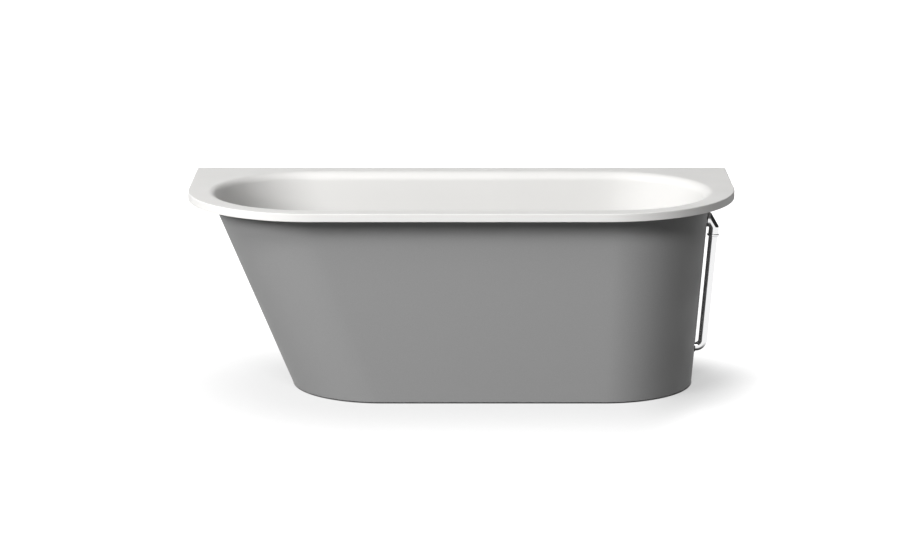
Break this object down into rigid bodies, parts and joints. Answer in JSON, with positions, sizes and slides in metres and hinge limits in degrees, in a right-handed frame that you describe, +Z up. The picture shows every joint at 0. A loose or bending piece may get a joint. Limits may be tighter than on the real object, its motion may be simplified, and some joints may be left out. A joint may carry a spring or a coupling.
{
  "type": "built-in bathtub",
  "caption": "Back-to-wall bath with a flat overhanging rim, a leaning wrap-round skirt, an outside overflow pipe, a click plug waste with trap, and levelling feet.",
  "frame": {"origin": "on the floor, under the middle of the rim", "axes": "+X towards the foot end with the overflow, +Y back to the room wall, +Z up"},
  "size_m": [1.7, 0.75, 0.61],
  "materials": {
    "basin_white": "satin white mineral casting",
    "skirt_grey": "matt grey mineral casting",
    "chrome": "polished chrome on brass",
    "brass": "turned brass",
    "seal_rubber": "soft black rubber",
    "waste_plastic": "white polypropylene",
    "zinc_steel": "zinc-plated steel",
    "spring_steel": "bright spring wire",
    "foot_plastic": "black nylon",
    "board": "raw chipboard"
  },
  "bodies": {
    "bath": {"bath_basin": "basin_white", "skirt_panel": "skirt_grey", "overflow_elbow": "chrome", "overflow_ring_nut": "chrome", "overflow_pipe": "chrome", "overflow_flange": "chrome", "overflow_cap": "chrome", "cap_screw": "chrome", "drain_flange": "chrome", "click_barrel": "brass", "overflow_seal": "seal_rubber", "elbow_seal": "seal_rubber", "drain_seal": "seal_rubber", "waste_seal": "seal_rubber", "pipe_grommet": "seal_rubber", "waste_body": "waste_plastic", "tee_nut": "waste_plastic", "trap_bowl": "waste_plastic", "trap_nut": "waste_plastic", "dip_tube": "waste_plastic", "outlet_nut": "waste_plastic", "outlet_pipe": "waste_plastic", "front_rail": "zinc_steel", "rear_rail": "zinc_steel", "rail_screws": "zinc_steel", "adjuster_nuts": "zinc_steel", "lock_nuts": "zinc_steel", "wall_bracket_head": "zinc_steel", "wall_bracket_foot": "zinc_steel", "bracket_screws": "zinc_steel", "plug_spring": "spring_steel", "base_board": "board"},
    "plug": {"plug_cap": "chrome", "plug_seal": "seal_rubber", "plug_stem": "brass"},
    "foot_1": {"foot_pad_1": "foot_plastic", "foot_stud_1": "zinc_steel"},
    "foot_2": {"foot_pad_2": "foot_plastic", "foot_stud_2": "zinc_steel"},
    "foot_3": {"foot_pad_3": "foot_plastic", "foot_stud_3": "zinc_steel"},
    "foot_4": {"foot_pad_4": "foot_plastic", "foot_stud_4": "zinc_steel"}
  },
  "joints": [
    {"name": "plug_slide", "type": "slide", "parent": "bath", "child": "plug", "axis": [0, 0, 1], "range_m": [0, 0.009], "deforming": ["plug_spring"]},
    {"name": "foot_1_level", "type": "slide", "parent": "bath", "child": "foot_1", "axis": [0, 0, 1], "range_m": [-0.01, 0.002]},
    {"name": "foot_2_level", "type": "slide", "parent": "bath", "child": "foot_2", "axis": [0, 0, 1], "range_m": [-0.01, 0.002]},
    {"name": "foot_3_level", "type": "slide", "parent": "bath", "child": "foot_3", "axis": [0, 0, 1], "range_m": [-0.01, 0.002]},
    {"name": "foot_4_level", "type": "slide", "parent": "bath", "child": "foot_4", "axis": [0, 0, 1], "range_m": [-0.01, 0.002]}
  ]
}
